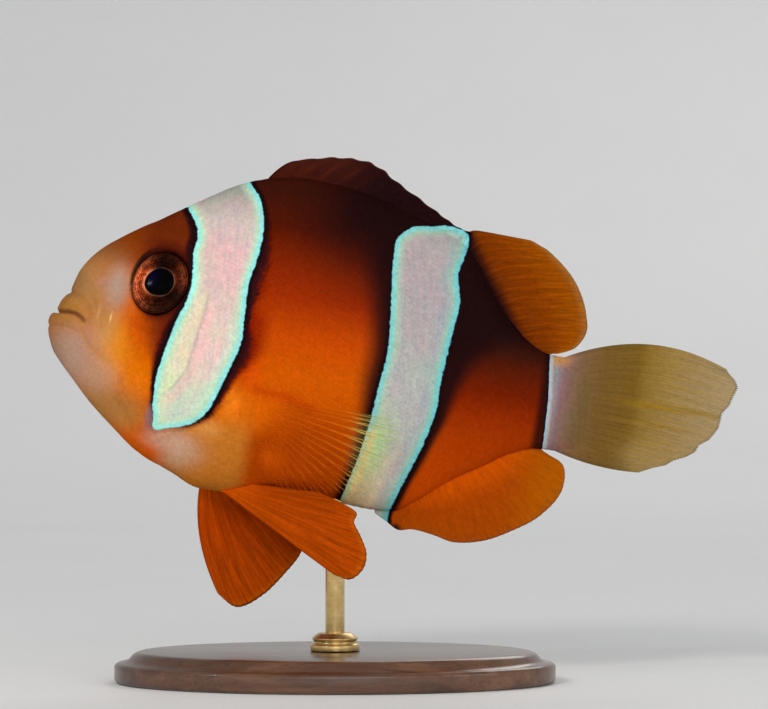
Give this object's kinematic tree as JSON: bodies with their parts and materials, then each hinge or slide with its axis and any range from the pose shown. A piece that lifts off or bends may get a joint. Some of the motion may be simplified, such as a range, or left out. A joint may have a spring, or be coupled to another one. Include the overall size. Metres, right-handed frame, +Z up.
{
  "type": "clownfish display model",
  "caption": "Still, life-size clownfish in orange and dark brown with pale bars, swimming slightly head-up, held by a short brass rod over an oval wooden display base.",
  "frame": {"origin": "middle of the display stand's flat underside, straight below the rod", "axes": "+Z up; the fish faces -X and lies along X; its left side faces -Y and its right side +Y"},
  "size_m": [0.1006, 0.043, 0.0762],
  "materials": {
    "skin": "wet satin fish skin with fine overlapping scales",
    "eye": "high gloss",
    "dark_fin": "thin satin membrane between spines",
    "orange_fin": "thin satin membrane between rays",
    "yellow_fin": "thin satin membrane between rays",
    "stand_wood": "satin lacquered dark wood",
    "stand_brass": "satin polished"
  },
  "bodies": {
    "root": {"head": "skin", "lower_jaw": "skin", "gill_cover_left": "skin", "gill_cover_right": "skin", "trunk": "skin", "tail_stem": "skin", "eye_left": "eye", "eye_right": "eye", "dorsal_fin_spiny": "dark_fin", "dorsal_fin_soft": "orange_fin", "anal_fin": "orange_fin", "caudal_fin": "yellow_fin", "pectoral_fin_left": "orange_fin", "pectoral_fin_right": "orange_fin", "pelvic_fin_left": "orange_fin", "pelvic_fin_right": "orange_fin", "stand_base": "stand_wood", "stand_collar": "stand_brass", "stand_rod": "stand_brass"}
  },
  "joints": []
}
